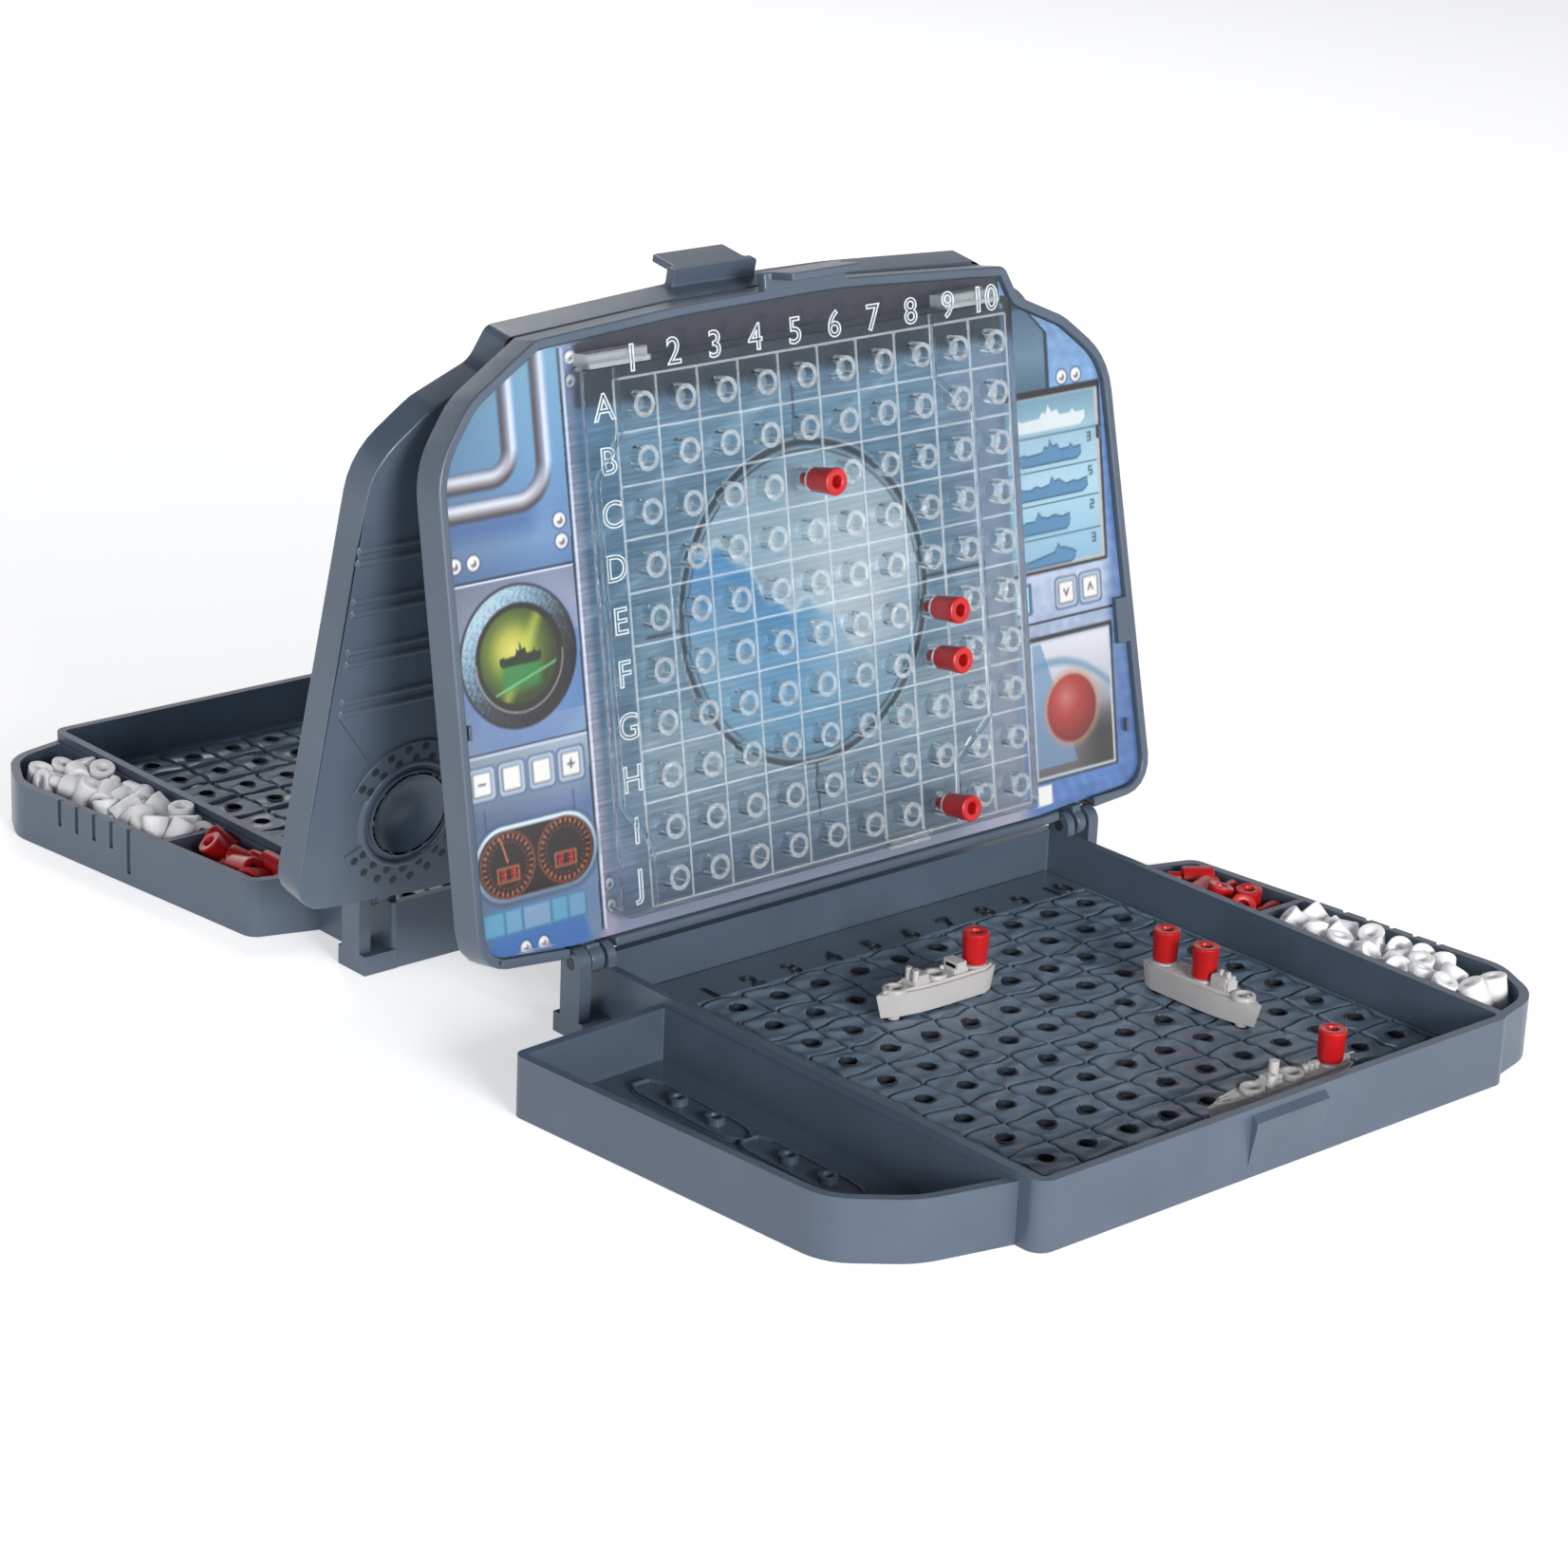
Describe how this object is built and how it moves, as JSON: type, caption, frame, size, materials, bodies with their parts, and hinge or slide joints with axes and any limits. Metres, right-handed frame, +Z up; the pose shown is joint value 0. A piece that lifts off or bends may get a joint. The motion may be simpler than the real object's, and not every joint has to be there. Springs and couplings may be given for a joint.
{
  "type": "fleet guessing game case",
  "caption": "Two hinged peg-board cases back to back, each a tray with an ocean board, ship bin and peg bins and a lid with a clear target screen.",
  "frame": {"origin": "on the table, midway between the two cases and in the middle of their width", "axes": "+Z up, -Y towards the front player, +X to the front player's right"},
  "size_m": [0.2328, 0.3666, 0.172],
  "materials": {
    "slate": "blue-grey moulded plastic, fine satin grain",
    "sea": "blue-grey moulded plastic with a wavy sea relief",
    "hinge_steel": "dark moulded plastic pin ends",
    "card": "printed gloss card, sea and control-panel pictures",
    "clear": "clear polystyrene with raised rings and lines",
    "white_peg": "white moulded plastic",
    "red_peg": "red moulded plastic",
    "ship": "warm light grey moulded plastic"
  },
  "bodies": {
    "front_case": {"front_tray": "slate", "front_ocean_board": "sea", "front_hinge_pins": "hinge_steel", "front_white_pegs": "white_peg", "front_red_pegs": "red_peg"},
    "front_lid": {"front_lid": "slate", "front_console_card": "card", "front_target_screen": "clear"},
    "rear_case": {"rear_tray": "slate", "rear_ocean_board": "sea", "rear_hinge_pins": "hinge_steel", "rear_white_pegs": "white_peg", "rear_red_pegs": "red_peg"},
    "rear_lid": {"rear_lid": "slate", "rear_console_card": "card", "rear_target_screen": "clear"},
    "escort": {"ship_escort": "ship"},
    "submarine": {"ship_submarine": "ship"},
    "cruiser": {"ship_cruiser": "ship"},
    "escort_peg": {"escort_peg": "red_peg"},
    "submarine_peg_aft": {"submarine_peg_aft": "red_peg"},
    "submarine_peg_mid": {"submarine_peg_mid": "red_peg"},
    "cruiser_peg": {"cruiser_peg": "red_peg"},
    "target_peg_upper": {"target_peg_upper": "red_peg"},
    "target_peg_middle": {"target_peg_middle": "red_peg"},
    "target_peg_lower": {"target_peg_lower": "red_peg"},
    "target_peg_bottom": {"target_peg_bottom": "red_peg"}
  },
  "joints": [
    {"name": "rear_case_slide", "type": "slide", "parent": "front_case", "child": "rear_case", "axis": [0, 1, 0], "range_m": [0, 0.06]},
    {"name": "front_lid_hinge", "type": "hinge", "parent": "front_case", "child": "front_lid", "pos_m": [0, -0.0321, 0.019], "axis": [1, 0, 0], "range_deg": [0, 45]},
    {"name": "rear_lid_hinge", "type": "hinge", "parent": "rear_case", "child": "rear_lid", "pos_m": [0, 0.0321, 0.019], "axis": [-1, 0, 0], "range_deg": [0, 99.5]},
    {"name": "escort_lift", "type": "slide", "parent": "front_case", "child": "escort", "axis": [0, 0, 1], "range_m": [0, 0.012]},
    {"name": "submarine_lift", "type": "slide", "parent": "front_case", "child": "submarine", "axis": [0, 0, 1], "range_m": [0, 0.012]},
    {"name": "cruiser_lift", "type": "slide", "parent": "front_case", "child": "cruiser", "axis": [0, 0, 1], "range_m": [0, 0.012]},
    {"name": "escort_peg_pull", "type": "slide", "parent": "escort", "child": "escort_peg", "axis": [0, 0, 1], "range_m": [0, 0.012]},
    {"name": "submarine_peg_aft_pull", "type": "slide", "parent": "submarine", "child": "submarine_peg_aft", "axis": [0, 0, 1], "range_m": [0, 0.012]},
    {"name": "submarine_peg_mid_pull", "type": "slide", "parent": "submarine", "child": "submarine_peg_mid", "axis": [0, 0, 1], "range_m": [0, 0.012]},
    {"name": "cruiser_peg_pull", "type": "slide", "parent": "cruiser", "child": "cruiser_peg", "axis": [0, 0, 1], "range_m": [0, 0.012]},
    {"name": "target_peg_upper_pull", "type": "slide", "parent": "front_lid", "child": "target_peg_upper", "axis": [0, -0.9863, 0.165], "range_m": [0, 0.012]},
    {"name": "target_peg_middle_pull", "type": "slide", "parent": "front_lid", "child": "target_peg_middle", "axis": [0, -0.9863, 0.165], "range_m": [0, 0.012]},
    {"name": "target_peg_lower_pull", "type": "slide", "parent": "front_lid", "child": "target_peg_lower", "axis": [0, -0.9863, 0.165], "range_m": [0, 0.012]},
    {"name": "target_peg_bottom_pull", "type": "slide", "parent": "front_lid", "child": "target_peg_bottom", "axis": [0, -0.9863, 0.165], "range_m": [0, 0.012]}
  ]
}
